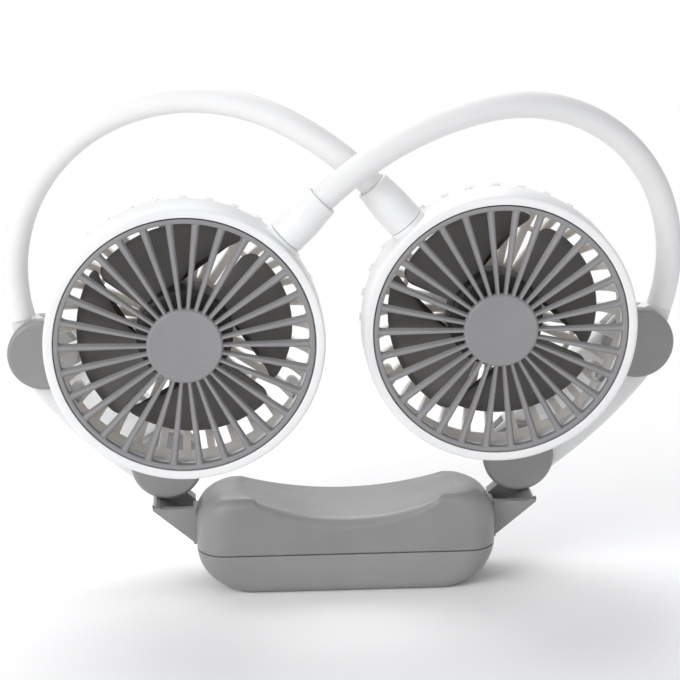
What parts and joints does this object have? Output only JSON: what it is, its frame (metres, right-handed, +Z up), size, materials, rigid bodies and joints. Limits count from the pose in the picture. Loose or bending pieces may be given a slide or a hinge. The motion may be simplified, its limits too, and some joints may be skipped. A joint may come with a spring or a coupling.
{
  "type": "neck fan",
  "caption": "Hands-free neck fan folded for storage: a saddle-topped battery box with hinged links and bendable arms that cross and carry caged fan heads.",
  "frame": {"origin": "centre of the flat base of the battery box", "axes": "+X to the right as seen from the front, +Y towards the back, away from the grilles, +Z up"},
  "size_m": [0.2128, 0.0509, 0.1594],
  "materials": {
    "grey_plastic": "satin moulded",
    "grille_plastic": "satin moulded",
    "white_plastic": "satin moulded",
    "white_silicone": "soft matt sleeve",
    "rotor_plastic": "satin moulded",
    "steel": "plain",
    "cell_can": "shrink wrapped",
    "board": "lacquered"
  },
  "bodies": {
    "box": {"lower_shell": "grey_plastic", "upper_shell": "grey_plastic", "battery_cell": "cell_can", "control_board": "board", "charging_inlet": "steel", "indicator_lens": "white_plastic", "shell_screws": "steel", "left_bracket": "grey_plastic", "right_bracket": "grey_plastic"},
    "power_button": {"power_button": "white_plastic"},
    "left_link": {"left_link": "white_plastic", "left_lower_cap": "grey_plastic", "left_upper_cap": "grey_plastic", "left_lower_pin": "steel", "left_upper_pin": "steel"},
    "left_arm": {"left_arm_knuckle": "white_plastic", "left_arm_tube": "white_silicone", "left_arm_core": "steel", "left_arm_collar": "white_plastic"},
    "right_link": {"right_link": "white_plastic", "right_lower_cap": "grey_plastic", "right_upper_cap": "grey_plastic", "right_lower_pin": "steel", "right_upper_pin": "steel"},
    "right_arm": {"right_arm_knuckle": "white_plastic", "right_arm_tube": "white_silicone", "right_arm_core": "steel", "right_arm_collar": "white_plastic"},
    "left_head": {"left_head_shell": "white_plastic", "left_head_grille": "grille_plastic", "left_head_guard": "white_plastic", "left_head_screws": "steel", "left_motor": "steel"},
    "left_rotor": {"left_rotor": "rotor_plastic", "left_shaft": "steel"},
    "right_head": {"right_head_shell": "white_plastic", "right_head_grille": "grille_plastic", "right_head_guard": "white_plastic", "right_head_screws": "steel", "right_motor": "steel"},
    "right_rotor": {"right_rotor": "rotor_plastic", "right_shaft": "steel"}
  },
  "joints": [
    {"name": "power_button_press", "type": "slide", "parent": "box", "child": "power_button", "axis": [0, -1, 0], "range_m": [0, 0.0007], "stiffness_N_per_m": 900, "springref_m": -0.001},
    {"name": "left_lower_hinge", "type": "hinge", "parent": "box", "child": "left_link", "pos_m": [-0.056, 0.0125, 0.0365], "axis": [0, 1, 0], "range_deg": [-1, 2]},
    {"name": "left_upper_hinge", "type": "hinge", "parent": "left_link", "child": "left_arm", "pos_m": [-0.0934, 0.0125, 0.0736], "axis": [0, 1, 0], "range_deg": [-1, 1.5]},
    {"name": "right_lower_hinge", "type": "hinge", "parent": "box", "child": "right_link", "pos_m": [0.056, 0.0125, 0.0365], "axis": [0, 1, 0], "range_deg": [-2, 5]},
    {"name": "right_upper_hinge", "type": "hinge", "parent": "right_link", "child": "right_arm", "pos_m": [0.0934, 0.0125, 0.0736], "axis": [0, 1, 0], "range_deg": [-2, 4]},
    {"name": "left_head_swivel", "type": "hinge", "parent": "right_arm", "child": "left_head", "pos_m": [-0.0495, -0.0255, 0.087], "axis": [0.7009, 0, 0.7133], "range_deg": [-15, 15]},
    {"name": "right_head_swivel", "type": "hinge", "parent": "left_arm", "child": "right_head", "pos_m": [0.0455, -0.0155, 0.087], "axis": [-0.6626, 0, 0.749], "range_deg": [-15, 15]},
    {"name": "left_rotor_spin", "type": "hinge", "parent": "left_head", "child": "left_rotor", "pos_m": [-0.0495, -0.0155, 0.087], "axis": [0, 1, 0], "continuous": true},
    {"name": "right_rotor_spin", "type": "hinge", "parent": "right_head", "child": "right_rotor", "pos_m": [0.0455, -0.0055, 0.087], "axis": [0, 1, 0], "continuous": true}
  ]
}
